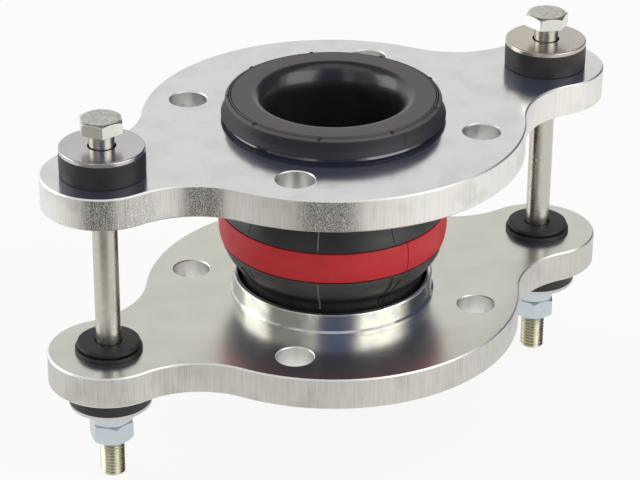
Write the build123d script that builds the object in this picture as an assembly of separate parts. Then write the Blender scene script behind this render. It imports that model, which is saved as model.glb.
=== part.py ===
from build123d import *
import math
import os

# Rubber expansion joint for a DN 65 pipe: a single-arch rubber bellows held between two
# eared steel flanges, which two tie rods keep together. Millimetres, +Z up along the pipe.
# The origin is the centre of the lower bolt circle, on the lower flange's outer face.
# The ears, and the tie rods through them, lie along X.

# Flange plates
bolt_circle_d = 145.0
bolt_count = 4
bolt_first_angle = 45.0
bolt_hole_d = 18.0
bolt_hole_chamfer = 0.5
flange_rim_w = 20.0
plate_t = 16.0
plate_gap = 77.0
plate_edge_break = 0.7

# Ears, and the concave arcs that lead from the disc out to them
rod_spacing = 247.0
ear_d = 58.5
ear_neck_r = 42.0
ear_hole_d = 22.0

# Support ring: a turned steel sleeve in each plate's bore, proud of the inner face
ring_wall = 4.2
ring_spigot_wall = 3.2
ring_height = 10.5
ring_flare_w = 1.7
ring_flare_depth = 6.0
ring_lip_r = 0.9
ring_foot_w = 1.0
ring_foot_t = 0.9
ring_foot_slope = 0.9
ring_fit = 0.05

# Bellows: waterway, neck through the ring, and the arch between the two rings
waterway_d = 63.0
waterway_lip_r = 6.0
throat_flare_r = 8.0
neck_wall = 13.2
neck_gap = 0.3
arch_height = 11.0
arch_root_clear = 4.3
arch_root_r = 4.0
arch_wall = 9.0

# Bellows: the collar that is turned out over each flange and seals on the pipe flange.
# Its widths are measured outwards from the neck, its depths from the plate's outer face.
collar_proud = 11.5
seal_face_w = 4.5
seal_step = 0.5
rim_w = 7.3
rim_drop = 1.6
rim_shoulder_depth = 5.6
bulge_w = 9.0
bulge_top_depth = 4.2
bulge_base_depth = 2.0
collar_seat_w = 6.5
collar_round_r = 1.2

# Coloured band set in a shallow recess around the arch
band_width = 15.0
band_depth = 1.0
band_proud = 0.15
band_edge_gap = 0.25

# Tie rods: hexagon head bolts with two nuts each
rod_d = 12.0
rod_past_nuts = 20.0
rod_end_chamfer = 1.1
head_free_gap = 7.0
hex_flats = 19.0
hex_face_inset = 0.5
hex_chamfer_angle = 30.0
head_height = 7.0
head_face_inset = 0.8
head_face_t = 0.6
nut_height = 10.0
nut_clearance = 0.05
nut_countersink = 0.55
head_turn = {"left": 6.6, "right": 39.0}
inner_nut_turn = {"left": 18.4, "right": 43.0}
lock_nut_turn = {"left": 17.0, "right": 57.0}

# Washers and rubber buffers around each rod; the nuts squeeze the lower buffers thinner
washer_d = 40.0
washer_t = 2.0
washer_clearance = 1.5
washer_edge_r = 0.6
buffer_overhang = 0.15
head_buffer_t = 11.5
nut_buffer_t = 10.5
buffer_clearance = 2.0
buffer_edge_r = 0.9

# Rubber grommet in each ear: sleeve, lip on the ear and cap above a groove
grommet_fit = 0.2
grommet_clearance = 1.0
grommet_lip_w = 5.1
grommet_lip_t = 2.0
grommet_cap_inset = 1.1
grommet_height = 4.7
grommet_groove_depth = 1.2
grommet_groove_t = 0.6
grommet_edge_r = 0.7

# Levels along the pipe axis
lower_outer = 0.0
lower_inner = lower_outer + plate_t
upper_inner = lower_inner + plate_gap
upper_outer = upper_inner + plate_t
middle = (lower_inner + upper_inner) / 2
mid_plane = Plane.XY.offset(middle)
rod_x = {"left": -rod_spacing / 2, "right": rod_spacing / 2}

# Radii about the pipe axis. The arch is a circle through its crest and through the neck
# at its root, which stands clear of the ring's mouth.
waterway_r = waterway_d / 2
neck_r = waterway_r + neck_wall
ring_bore_r = neck_r + neck_gap
ring_outer_r = ring_bore_r + ring_wall
ring_spigot_r = ring_bore_r + ring_spigot_wall
root_to_middle = plate_gap / 2 - ring_height - arch_root_clear
arch_r = (arch_height**2 + root_to_middle**2) / (2 * arch_height)
crest_r = neck_r + arch_height
arch_centre_r = crest_r - arch_r


def revolved(face):
    """Turn a section drawn in the XZ plane, with X as the radius, about the Z axis."""
    return revolve(face, axis=Axis.Z)


def section(points):
    """A closed section in the XZ plane from (radius, height) corners."""
    return make_face(Polyline([(r, 0, z) for r, z in points], close=True))


def corners_near(face, *places):
    """The corners of a section that lie at the given (radius, height) places."""
    return [face.vertices().sort_by_distance((r, 0, z))[0] for r, z in places]


def hole_cutter(radius, low, high, chamfer_size=0.0):
    """A round hole from low to high, chamfered at both mouths."""
    spare = 1.0
    wide = radius + chamfer_size + spare
    points = [
        (0, low - spare),
        (wide, low - spare),
        (radius, low + chamfer_size),
        (radius, high - chamfer_size),
        (wide, high + spare),
        (0, high + spare),
    ]
    return revolved(section(points))


def eared_outline():
    """Flange disc and two ears, joined by concave arcs tangent to both."""
    disc_r = bolt_circle_d / 2 + flange_rim_w
    ear_r = ear_d / 2
    ear_x = rod_spacing / 2
    disc_reach = disc_r + ear_neck_r
    ear_reach = ear_r + ear_neck_r
    neck_x = (disc_reach**2 - ear_reach**2 + ear_x**2) / (2 * ear_x)
    neck = Vector(neck_x, math.sqrt(disc_reach**2 - neck_x**2))
    ear = Vector(ear_x, 0)
    on_disc = neck * (disc_r / disc_reach)
    on_ear = ear + (neck - ear) * (ear_r / ear_reach)
    halfway = neck + ((on_disc + on_ear) / 2 - neck).normalized() * ear_neck_r

    def flip(point, x_sign, y_sign):
        return Vector(point.X * x_sign, point.Y * y_sign)

    edges = []
    for side in (1, -1):
        tip = Vector(side * (ear_x + ear_r), 0)
        crown = Vector(0, side * disc_r)
        edges.append(ThreePointArc(flip(on_ear, side, -1), tip, flip(on_ear, side, 1)))
        edges.append(ThreePointArc(flip(on_disc, 1, side), crown, flip(on_disc, -1, side)))
        for up in (1, -1):
            ends = (flip(on_ear, side, up), flip(halfway, side, up), flip(on_disc, side, up))
            edges.append(ThreePointArc(*ends))
    return make_face(edges)


def lower_flange():
    """Eared plate with the ring's bore, the bolt holes and a grommet hole in each ear."""
    plate = extrude(eared_outline(), plate_t)
    rim = plate.edges().group_by(Axis.Z)
    plate = chamfer(rim[0] + rim[-1], plate_edge_break)
    plate -= hole_cutter(ring_spigot_r + ring_fit, lower_outer, lower_inner)
    bolt_hole = hole_cutter(bolt_hole_d / 2, lower_outer, lower_inner, bolt_hole_chamfer)
    plate -= [
        place * bolt_hole
        for place in PolarLocations(bolt_circle_d / 2, bolt_count, start_angle=bolt_first_angle)
    ]
    ear_hole = hole_cutter(ear_hole_d / 2, lower_outer, lower_inner)
    plate -= [Pos(X=x) * ear_hole for x in rod_x.values()]
    return plate


def lower_support_ring():
    """Turned sleeve: spigot in the plate, foot on its inner face, rounded and flared mouth."""
    top = lower_inner + ring_height
    foot_r = ring_outer_r + ring_foot_w
    foot_top = lower_inner + ring_foot_t
    mouth_r = ring_bore_r + ring_flare_w
    face = section([
        (ring_bore_r, lower_outer),
        (ring_spigot_r, lower_outer),
        (ring_spigot_r, lower_inner),
        (foot_r, lower_inner),
        (foot_r, foot_top),
        (ring_outer_r, foot_top + ring_foot_slope),
        (ring_outer_r, top),
        (mouth_r, top),
        (ring_bore_r, top - ring_flare_depth),
    ])
    rounded = corners_near(face, (ring_outer_r, top), (mouth_r, top))
    return revolved(fillet(rounded, ring_lip_r))


def arch_arc(radius, start):
    """Arc about the arch's centre, from a (radius, height) start up to the middle."""
    angle = math.atan2(start[1] - middle, start[0] - arch_centre_r)
    along_r = arch_centre_r + radius * math.cos(angle / 2)
    along_z = middle + radius * math.sin(angle / 2)
    return ThreePointArc((start[0], 0, start[1]), (along_r, 0, along_z),
                         (arch_centre_r + radius, 0, middle))


def bellows_half_section():
    """Lower half of the bellows' wall: throat, sealing collar, neck and half the arch."""
    face_z = lower_outer - collar_proud
    seal_r = neck_r + seal_face_w
    rim_r = neck_r + rim_w
    bulge_r = neck_r + bulge_w
    bulge_top = lower_outer - bulge_top_depth
    bulge_base = lower_outer - bulge_base_depth
    neck_top = middle - root_to_middle
    inner_r = arch_r - arch_wall
    lip_z = middle - math.sqrt(inner_r**2 - (waterway_r - arch_centre_r)**2)
    collar = [
        (waterway_r, lip_z),
        (waterway_r, face_z),
        (seal_r, face_z),
        (seal_r, face_z + seal_step),
        (rim_r, face_z + rim_drop),
        (rim_r, lower_outer - rim_shoulder_depth),
        (bulge_r, bulge_top),
        (bulge_r, bulge_base),
        (neck_r + collar_seat_w, lower_outer),
        (neck_r, lower_outer),
        (neck_r, neck_top),
    ]
    outer_arc = arch_arc(arch_r, (neck_r, neck_top))
    inner_arc = arch_arc(inner_r, (waterway_r, lip_z))
    cut = Line(outer_arc @ 1, inner_arc @ 1)
    wall = make_face([Polyline([(r, 0, z) for r, z in collar]), outer_arc, cut, inner_arc])
    moulded = [
        ((waterway_r, face_z), throat_flare_r),
        ((waterway_r, lip_z), waterway_lip_r),
        ((neck_r, neck_top), arch_root_r),
        ((rim_r, face_z + rim_drop), collar_round_r),
        ((bulge_r, bulge_top), collar_round_r),
        ((bulge_r, bulge_base), collar_round_r),
    ]
    for place, radius in moulded:
        wall = fillet(corners_near(wall, place), radius)
    return wall


def band_section(width):
    """Section of a strip along the arch's crest, over a given width at the middle."""
    centre = Plane.XZ * Pos(arch_centre_r, middle)
    shell = centre * Circle(arch_r + band_proud) - centre * Circle(arch_r - band_depth)
    reach = crest_r + band_proud
    strip = section([(neck_r, middle - width / 2), (reach, middle - width / 2),
                     (reach, middle + width / 2), (neck_r, middle + width / 2)])
    return shell & strip


def bellows():
    """One moulded rubber body, the same on both sides of the middle, recessed for its band."""
    half = revolved(bellows_half_section())
    body = half + half.mirror(mid_plane)
    return body - revolved(band_section(band_width + 2 * band_edge_gap))


def red_band():
    """Coloured rubber band that follows the crest of the arch."""
    return revolved(band_section(band_width))


def hex_blank(height, chamfer_low, chamfer_high):
    """Hexagonal prism on Z, turned down to a cone at its ends as asked."""
    prism = extrude(RegularPolygon(hex_flats / 2, 6, major_radius=False), height)
    corner_r = hex_flats / math.sqrt(3)
    face_r = hex_flats / 2 - hex_face_inset
    drop = (corner_r - face_r) * math.tan(math.radians(hex_chamfer_angle))
    low_r = face_r if chamfer_low else corner_r
    high_r = face_r if chamfer_high else corner_r
    turned = section([(0, 0), (low_r, 0), (corner_r, drop), (corner_r, height - drop),
                      (high_r, height), (0, height)])
    return prism & revolved(turned)


def tie_rod(side):
    """Hexagon head bolt from above the upper flange down past both nuts."""
    seat = head_underside()
    end = lock_nut_base() - rod_past_nuts
    face_r = hex_flats / 2 - head_face_inset
    shank = section([
        (0, end),
        (rod_d / 2 - rod_end_chamfer, end),
        (rod_d / 2, end + rod_end_chamfer),
        (rod_d / 2, seat),
        (face_r, seat),
        (face_r, seat + head_face_t),
        (0, seat + head_face_t),
    ])
    head = Pos(Z=seat + head_face_t) * Rot(Z=head_turn[side])
    return revolved(shank) + head * hex_blank(head_height - head_face_t, False, True)


def nut(turn):
    """Hexagon nut on Z, chamfered on both faces and countersunk at both ends of its bore."""
    bore = hole_cutter(rod_d / 2 + nut_clearance, 0, nut_height, nut_countersink)
    return Rot(Z=turn) * (hex_blank(nut_height, True, True) - bore)


def washer():
    """Large flat washer whose upper outer edge is rounded by the punch."""
    inner = (rod_d + washer_clearance) / 2
    outer = washer_d / 2
    face = section([(inner, 0), (outer, 0), (outer, washer_t), (inner, washer_t)])
    return revolved(fillet(corners_near(face, (outer, washer_t)), washer_edge_r))


def buffer(thickness):
    """Thick rubber ring between a washer and the flange."""
    inner = (rod_d + buffer_clearance) / 2
    outer = washer_d / 2 + buffer_overhang
    face = section([(inner, 0), (outer, 0), (outer, thickness), (inner, thickness)])
    rounded = corners_near(face, (outer, 0), (outer, thickness))
    return revolved(fillet(rounded, buffer_edge_r))


def lower_grommet():
    """Rubber grommet: a sleeve down through the ear, a wide lip on it and a cap above."""
    hole = (rod_d + grommet_clearance) / 2
    sleeve = ear_hole_d / 2 - grommet_fit
    lip = ear_hole_d / 2 + grommet_lip_w
    cap = lip - grommet_cap_inset
    groove = cap - grommet_groove_depth
    lip_top = lower_inner + grommet_lip_t
    cap_base = lip_top + grommet_groove_t
    top = lower_inner + grommet_height
    face = section([
        (hole, lower_outer),
        (sleeve, lower_outer),
        (sleeve, lower_inner),
        (lip, lower_inner),
        (lip, lip_top),
        (groove, lip_top),
        (groove, cap_base),
        (cap, cap_base),
        (cap, top),
        (hole, top),
    ])
    rounded = corners_near(face, (lip, lip_top), (cap, cap_base), (cap, top))
    return revolved(fillet(rounded, grommet_edge_r))


def head_underside():
    """Level of the bolt head's seat, clear of the upper washer by the free gap."""
    return upper_outer + head_buffer_t + washer_t + head_free_gap


def nut_washer_base():
    """Level of the lower washer's underside."""
    return lower_outer - nut_buffer_t - washer_t


def lock_nut_base():
    """Level of the second nut's free face."""
    return nut_washer_base() - 2 * nut_height


def to_upper(shape):
    """The upper flange's copy of a piece that is drawn on the lower flange."""
    return shape.mirror(mid_plane)


def buffer_and_washer(side, thickness):
    """A buffer of the given thickness under one lower ear, and the washer below it."""
    seat = Pos(X=rod_x[side], Z=lower_outer - thickness)
    return seat * buffer(thickness), seat * mirror(washer(), about=Plane.XY)


def rod_fittings(side):
    """Everything around one tie rod, by node name."""
    at_rod = Pos(X=rod_x[side])
    head_buffer, head_washer = buffer_and_washer(side, head_buffer_t)
    nut_buffer, nut_washer = buffer_and_washer(side, nut_buffer_t)
    grommet = at_rod * lower_grommet()
    base = nut_washer_base()
    return {
        f"{side}_tie_rod": at_rod * tie_rod(side),
        f"{side}_head_washer": to_upper(head_washer),
        f"{side}_head_buffer": to_upper(head_buffer),
        f"{side}_upper_grommet": to_upper(grommet),
        f"{side}_lower_grommet": grommet,
        f"{side}_nut_buffer": nut_buffer,
        f"{side}_nut_washer": nut_washer,
        f"{side}_nut": at_rod * Pos(Z=base - nut_height) * nut(inner_nut_turn[side]),
        f"{side}_lock_nut": at_rod * Pos(Z=base - 2 * nut_height) * nut(lock_nut_turn[side]),
    }


def all_pieces():
    """Every piece of the joint, by node name."""
    flange = lower_flange()
    ring = lower_support_ring()
    pieces = {
        "lower_flange": flange,
        "upper_flange": to_upper(flange),
        "lower_support_ring": ring,
        "upper_support_ring": to_upper(ring),
        "bellows": bellows(),
        "red_band": red_band(),
    }
    for side in rod_x:
        pieces.update(rod_fittings(side))
    return pieces


os.makedirs("parts", exist_ok=True)
for name, piece in all_pieces().items():
    export_step(piece, f"parts/{name}.step")
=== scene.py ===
"""Looks of a single-arch rubber expansion joint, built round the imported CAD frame.

Metres, +Z up along the pipe. The origin is the centre of the lower bolt circle, on the
lower flange's outer face, and the ears with their tie rods lie along X. The pieces' sizes
are given in millimetres, and the studio's in metres.
"""

import logging
import math
from collections.abc import Callable, Iterable, Sequence
from dataclasses import dataclass, replace
from enum import Enum
from functools import partial
from itertools import pairwise

import bmesh
import bpy
import numpy as np
from mathutils import Matrix, Vector


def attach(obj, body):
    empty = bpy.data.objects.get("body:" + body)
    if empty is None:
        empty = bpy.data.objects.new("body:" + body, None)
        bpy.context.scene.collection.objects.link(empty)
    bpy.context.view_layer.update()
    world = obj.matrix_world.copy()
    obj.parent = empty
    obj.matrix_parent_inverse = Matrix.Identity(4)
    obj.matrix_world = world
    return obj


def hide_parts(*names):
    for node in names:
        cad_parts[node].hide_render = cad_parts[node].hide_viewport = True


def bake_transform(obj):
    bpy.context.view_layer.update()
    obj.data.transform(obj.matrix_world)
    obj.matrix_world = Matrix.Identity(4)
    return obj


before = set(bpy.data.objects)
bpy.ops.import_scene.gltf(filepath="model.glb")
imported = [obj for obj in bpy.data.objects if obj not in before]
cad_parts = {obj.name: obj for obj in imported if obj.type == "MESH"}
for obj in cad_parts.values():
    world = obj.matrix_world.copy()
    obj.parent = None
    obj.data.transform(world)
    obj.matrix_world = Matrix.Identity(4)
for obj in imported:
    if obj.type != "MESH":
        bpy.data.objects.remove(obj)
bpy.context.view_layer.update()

MM = 0.001
# How far each tie rod stands from the pipe's axis.
ROD_X = 123.5
LOG = logging.getLogger("expansion_joint")
Ring = Callable[[np.ndarray], tuple[np.ndarray, np.ndarray]]


class Side(Enum):
    """The two tie rods, named as the camera sees them."""

    LEFT = "left"
    RIGHT = "right"

    def of(self, pair: tuple[float, float]) -> float:
        """This side's value, of a left and right pair."""
        return pair[0] if self is Side.LEFT else pair[1]

    @property
    def axis(self) -> tuple[float, float]:
        """Where this side's rod stands, in millimetres."""
        return self.of((-ROD_X, ROD_X)), 0.0


class Deck(Enum):
    """The two flanges, which are also the joint's two bodies."""

    LOWER = "lower_flange"
    UPPER = "upper_flange"


# ---------------------------------------------------------------- nodes and colours

MATH = "ShaderNodeMath"
VECTOR = "ShaderNodeVectorMath"
RANGE = "ShaderNodeMapRange"
NOISE = "ShaderNodeTexNoise"
MIX = "ShaderNodeMix"
SPLIT = "ShaderNodeSeparateXYZ"
COMBINE = "ShaderNodeCombineXYZ"
COORDS = "ShaderNodeTexCoord"
PATH = "ShaderNodeLightPath"
# Settings that many nodes share, and the attribute that holds a piece's rest places
SMOOTH = {"interpolation_type": "SMOOTHSTEP"}
RGBA = {"data_type": "RGBA"}
REST_PLACE = "rest_place"
Colour = tuple[float, float, float, float]


def linear(hex_code: str) -> Colour:
    """Turn an sRGB hex colour into the linear colour that a socket holds.

    Args:
        hex_code: Six hex digits after a number sign.

    Returns:
        Red, green, blue and alpha, linear.
    """
    parts = [int(hex_code[i : i + 2], 16) / 255 for i in (1, 3, 5)]
    lin = [c / 12.92 if c <= 0.04045 else ((c + 0.055) / 1.055) ** 2.4 for c in parts]
    return lin[0], lin[1], lin[2], 1.0


def first_output(node: bpy.types.Node) -> bpy.types.NodeSocket:
    """The first output of a node that its settings leave in use."""
    return next(socket for socket in node.outputs if socket.enabled)


def add_node(
    tree: bpy.types.NodeTree,
    kind: str,
    inputs: dict[int | str, object] | None = None,
    **settings: object,
) -> bpy.types.Node:
    """Add a node with its settings and links.

    Args:
        tree: The tree that the node goes into.
        kind: The node's Blender type name.
        inputs: For each input, by name or number, a value, a socket to link, or a node
            whose first output is linked.
        **settings: The node's own properties.

    Returns:
        The new node.
    """
    node = tree.nodes.new(kind)
    for name, value in settings.items():
        setattr(node, name, value)
    for key, value in (inputs or {}).items():
        if isinstance(value, bpy.types.Node):
            value = first_output(value)
        if isinstance(value, bpy.types.NodeSocket):
            tree.links.new(value, node.inputs[key])
        else:
            node.inputs[key].default_value = value
    return node


# ---------------------------------------------------------------- finishes


@dataclass(frozen=True)
class Canvas:
    """A new material's tree, and what the pattern on it starts from.

    The place is on the piece, in millimetres, and the normal is the piece's own.
    """

    tree: bpy.types.NodeTree
    shader: bpy.types.Node
    place: bpy.types.Node
    normal: bpy.types.NodeSocket

    def upright(self) -> bpy.types.Node:
        """How far the piece's normal points up or down: 1 on a level face, 0 on a wall."""
        rise = add_node(self.tree, SPLIT, {0: self.normal}).outputs["Z"]
        return add_node(self.tree, MATH, {0: rise}, operation="ABSOLUTE")

    def off_axis(self, place: bpy.types.Node, x: float, y: float) -> bpy.types.NodeSocket:
        """How far a place is from an upright axis.

        Args:
            place: The place, in millimetres.
            x: Where the axis stands.
            y: Where the axis stands.

        Returns:
            The level distance.
        """
        beside = add_node(self.tree, VECTOR, {0: place, 1: (x, y, 0.0)}, operation="SUBTRACT")
        level = add_node(self.tree, VECTOR, {0: beside, 1: (1.0, 1.0, 0.0)}, operation="MULTIPLY")
        return add_node(self.tree, VECTOR, {0: level}, operation="LENGTH").outputs["Value"]

    def wire(
        self,
        colour: bpy.types.Node,
        rough: bpy.types.Node,
        height: bpy.types.Node,
        depth_mm: float,
    ) -> None:
        """Link a colour, a roughness and a relief to the shader.

        Args:
            colour: The colour.
            rough: The roughness.
            height: The relief, from 0 to 1.
            depth_mm: How high a 1 stands, in millimetres.
        """
        sizes = {"Height": height, "Distance": depth_mm * MM, "Strength": 1.0}
        relief = add_node(self.tree, "ShaderNodeBump", sizes)
        for node, name in ((colour, "Base Color"), (rough, "Roughness"), (relief, "Normal")):
            self.tree.links.new(first_output(node), self.shader.inputs[name])


@dataclass(frozen=True)
class Finish:
    """What every finish on the joint starts from."""

    name: str
    colour: str
    roughness: float
    metallic: float = 1.0
    # A piece that changes length at a pose keeps its rest places in an attribute.
    stretches: bool = False

    def make(self) -> bpy.types.Material:
        """Make the material.

        Returns:
            The material, with the finish's own pattern in it.
        """
        material = bpy.data.materials.new(self.name)
        material.use_nodes = True
        tree = material.node_tree
        shader = tree.nodes["Principled BSDF"]
        shader.inputs["Base Color"].default_value = linear(self.colour)
        shader.inputs["Roughness"].default_value = self.roughness
        shader.inputs["Metallic"].default_value = self.metallic
        coords = add_node(tree, COORDS)
        start = coords.outputs["Object"]
        if self.stretches:
            kept = add_node(tree, "ShaderNodeAttribute", attribute_name=REST_PLACE)
            start = kept.outputs["Vector"]
        place = add_node(tree, VECTOR, {0: start, "Scale": 1 / MM}, operation="SCALE")
        self.pattern(Canvas(tree, shader, place, coords.outputs["Normal"]))
        return material

    def pattern(self, on: Canvas) -> None:
        """Add the finish's own pattern; a plain finish has none."""


@dataclass(frozen=True)
class ZincedPlate(Finish):
    """Rolled steel plate, flame cut and zinc plated.

    The faces are smooth enough to mirror what stands on them, with a faint rolling grain and
    a thin blue film. The cut edge has the torch's drag lines down it, and coarse dark runs.
    """

    cloud: str = "#D9D8D5"
    cut_light: str = "#EFECE5"
    cut_shade: str = "#B9B6AF"
    cut_dark: str = "#76736D"
    # Painted highlight: the arris is coloured lighter than the faces.
    arris_highlight: str = "#F3F2EE"
    hole: str = "#E4E3DF"
    film: str = "#4A62A0"
    film_share: float = 0.25
    film_rough: float = 0.6
    cut_rough: float = 0.42
    hole_rough: float = 0.3
    arris_rough: float = 0.4
    relief_mm: float = 0.14
    # How often the rolling grain and the drill's rings repeat along x, y and z, per mm.
    rolling: tuple[float, float, float] = (0.03, 1.3, 0.12)
    drilling: tuple[float, float, float] = (0.03, 0.03, 1.3)
    # Real drag lines are about 0.3 mm apart; they are drawn coarser, so that they show.
    drag_pitch_mm: float = 0.4
    grit_mm: float = 0.5
    line_share: float = 0.25
    patch_share: float = 0.2
    bolt_circle_mm: float = 72.5
    bolt_hole_reach_mm: float = 10.2
    # Where the torch ran unevenly: place and reach in mm, and how coarse the run is.
    coarse_runs: tuple[tuple[float, float, float, float], ...] = ()

    def pattern(self, on: Canvas) -> None:
        """Add rolling grain to the faces, drag lines to the edge and drill marks to the holes.

        Args:
            on: The material's canvas.
        """
        on.shader.inputs["Sheen Weight"].default_value = self.film_share
        on.shader.inputs["Sheen Roughness"].default_value = self.film_rough
        on.shader.inputs["Sheen Tint"].default_value = linear(self.film)
        node, place = partial(add_node, on.tree), on.place

        upright = on.upright()
        wall = node(RANGE, {0: upright, 1: 0.35, 2: 0.15}, **SMOOTH)
        folded = node(VECTOR, {0: place}, operation="ABSOLUTE")
        centre = self.bolt_circle_mm / math.sqrt(2)
        away = on.off_axis(folded, centre, centre)
        reach = self.bolt_hole_reach_mm
        near = node(RANGE, {0: away, 1: reach, 2: reach - 0.6}, **SMOOTH)
        drilled = node(MATH, {0: near, 1: wall}, operation="MULTIPLY")

        # The rolled faces: long fine grain, and slow clouds in the plating's gloss.
        stretched = node(VECTOR, {0: place, 1: self.rolling}, operation="MULTIPLY")
        grain = node(NOISE, {"Vector": stretched, "Scale": 1.0, "Detail": 3.0, "Roughness": 0.6})
        clouds = node(NOISE, {"Vector": place, "Scale": 0.055, "Detail": 3.0, "Roughness": 0.5})
        cloudy = node(RANGE, {0: clouds, 1: 0.42, 2: 0.68}, **SMOOTH)
        face_colour = node(MIX, {0: cloudy, 6: linear(self.colour), 7: linear(self.cloud)}, **RGBA)
        low, high = self.roughness - 0.01, self.roughness + 0.02
        face_rough = node(RANGE, {0: clouds, 1: 0.3, 2: 0.7, 3: low, 4: high})
        fine = node(MATH, {0: grain, 1: 0.01}, operation="MULTIPLY")
        face_relief = node(MATH, {0: clouds, 1: 0.008, 2: fine}, operation="MULTIPLY_ADD")

        # The cut edge: drag lines from top to bottom, grit, and runs where the torch dwelled.
        pitch = 1 / self.drag_pitch_mm
        down = node(VECTOR, {0: place, 1: (pitch, pitch, 0.05)}, operation="MULTIPLY")
        drag = node(NOISE, {"Vector": down, "Scale": 1.0, "Detail": 2.0, "Roughness": 0.7})
        gritty = {"Vector": place, "Scale": 1 / self.grit_mm, "Detail": 2.0, "Roughness": 0.6}
        grit = node(NOISE, gritty)
        patches = node(NOISE, {"Vector": place, "Scale": 0.045, "Detail": 2.0, "Roughness": 0.5})
        coarse = node(RANGE, {0: patches, 1: 0.52, 2: 0.66, 4: self.patch_share}, **SMOOTH)
        for x, y, half, share in self.coarse_runs:
            off = on.off_axis(place, x, y)
            run = node(RANGE, {0: off, 1: half * 1.6, 2: half * 0.5, 4: share}, **SMOOTH)
            coarse = node(MATH, {0: coarse, 1: run}, operation="MAXIMUM")
        lines = node(RANGE, {0: drag, 1: 0.42, 2: 0.68}, **SMOOTH)
        share = node(RANGE, {0: coarse, 1: 0.0, 2: 1.0, 3: self.line_share, 4: 1.0})
        shaded = node(MATH, {0: lines, 1: share}, operation="MULTIPLY")
        light, shade = linear(self.cut_light), linear(self.cut_shade)
        lined = node(MIX, {0: shaded, 6: light, 7: shade}, **RGBA)
        speckle = node(RANGE, {0: grit, 1: 0.36, 2: 0.56}, **SMOOTH)
        dirt = node(MATH, {0: speckle, 1: coarse}, operation="MULTIPLY")
        cut_colour = node(MIX, {0: dirt, 6: lined, 7: linear(self.cut_dark)}, **RGBA)
        rubble = node(MATH, {0: grit, 1: coarse}, operation="MULTIPLY")
        cut_relief = node(MATH, {0: rubble, 1: 0.7, 2: drag}, operation="MULTIPLY_ADD")

        # The drilled holes: faint rings that the drill left.
        rings = node(VECTOR, {0: place, 1: self.drilling}, operation="MULTIPLY")
        feed = node(NOISE, {"Vector": rings, "Scale": 1.0, "Detail": 2.0, "Roughness": 0.6})
        feed_relief = node(MATH, {0: feed, 1: 0.25}, operation="MULTIPLY")

        side_colour = node(MIX, {0: drilled, 6: cut_colour, 7: linear(self.hole)}, **RGBA)
        side_relief = node(MIX, {0: drilled, 2: cut_relief, 3: feed_relief})
        side_rough = node(MIX, {0: drilled, 2: self.cut_rough, 3: self.hole_rough})
        tinted = node(MIX, {0: wall, 6: face_colour, 7: side_colour}, **RGBA)
        worn = node(MIX, {0: wall, 2: face_rough, 3: side_rough})
        relief = node(MIX, {0: wall, 2: face_relief, 3: side_relief})

        # The arris between them is painted lighter, a painted highlight, and is rougher.
        off_flat = node(RANGE, {0: upright, 1: 0.98, 2: 0.93}, **SMOOTH)
        arris_highlight = node(MATH, {0: off_flat, 1: wall}, operation="SUBTRACT", use_clamp=True)
        colour = node(MIX, {0: arris_highlight, 6: tinted, 7: linear(self.arris_highlight)}, **RGBA)
        rough = node(MIX, {0: arris_highlight, 2: worn, 3: self.arris_rough})
        on.wire(colour, rough, relief, self.relief_mm)


@dataclass(frozen=True)
class TurnedZinc(Finish):
    """Mild steel turned on a lathe and zinc plated: a mirror with fine lines round it."""

    # Real tool marks are about 0.1 mm apart; they are drawn coarser, so that they show.
    feed_mm: float = 0.45
    smear: str = "#C6C8CC"
    relief_mm: float = 0.004

    def pattern(self, on: Canvas) -> None:
        """Add tool marks that run round the pipe's axis.

        Args:
            on: The material's canvas.
        """
        node = partial(add_node, on.tree)
        around = (0.02, 0.02, 1 / self.feed_mm)
        rings = node(VECTOR, {0: on.place, 1: around}, operation="MULTIPLY")
        marks = node(NOISE, {"Vector": rings, "Scale": 1.0, "Detail": 2.0})
        smears = node(NOISE, {"Vector": on.place, "Scale": 0.13, "Detail": 2.0})
        share = node(RANGE, {0: smears, 1: 0.4, 2: 0.7}, **SMOOTH)
        colour = node(MIX, {0: share, 6: linear(self.colour), 7: linear(self.smear)}, **RGBA)
        low, high = self.roughness, self.roughness + 0.06
        rough = node(RANGE, {0: smears, 1: 0.35, 2: 0.65, 3: low, 4: high})
        on.wire(colour, rough, marks, self.relief_mm)


@dataclass(frozen=True)
class DrawnZinc(Finish):
    """Drawn steel bar, zinc plated: bright, with faint lines along it.

    The rolled thread at its end holds more of the plating's olive film.
    """

    thread: str = "#C9C5AC"
    thread_top_mm: float = -16.0
    line_mm: float = 0.6
    relief_mm: float = 0.008

    def pattern(self, on: Canvas) -> None:
        """Add drawing lines along the rod and a slight unevenness of the plating.

        Args:
            on: The material's canvas.
        """
        node = partial(add_node, on.tree)
        across = 1 / self.line_mm
        along = node(VECTOR, {0: on.place, 1: (across, across, 0.025)}, operation="MULTIPLY")
        lines = node(NOISE, {"Vector": along, "Scale": 1.0, "Detail": 2.0})
        clouds = node(NOISE, {"Vector": on.place, "Scale": 0.28, "Detail": 2.0})
        level = node(SPLIT, {0: on.place}).outputs["Z"]
        top = self.thread_top_mm
        threaded = node(RANGE, {0: level, 1: top + 1.0, 2: top - 1.0}, **SMOOTH)
        colour = node(MIX, {0: threaded, 6: linear(self.colour), 7: linear(self.thread)}, **RGBA)
        low, high = self.roughness - 0.04, self.roughness + 0.08
        rough = node(RANGE, {0: clouds, 1: 0.3, 2: 0.7, 3: low, 4: high})
        relief = node(MATH, {0: lines, 1: clouds}, operation="ADD")
        on.wire(colour, rough, relief, self.relief_mm)


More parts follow.
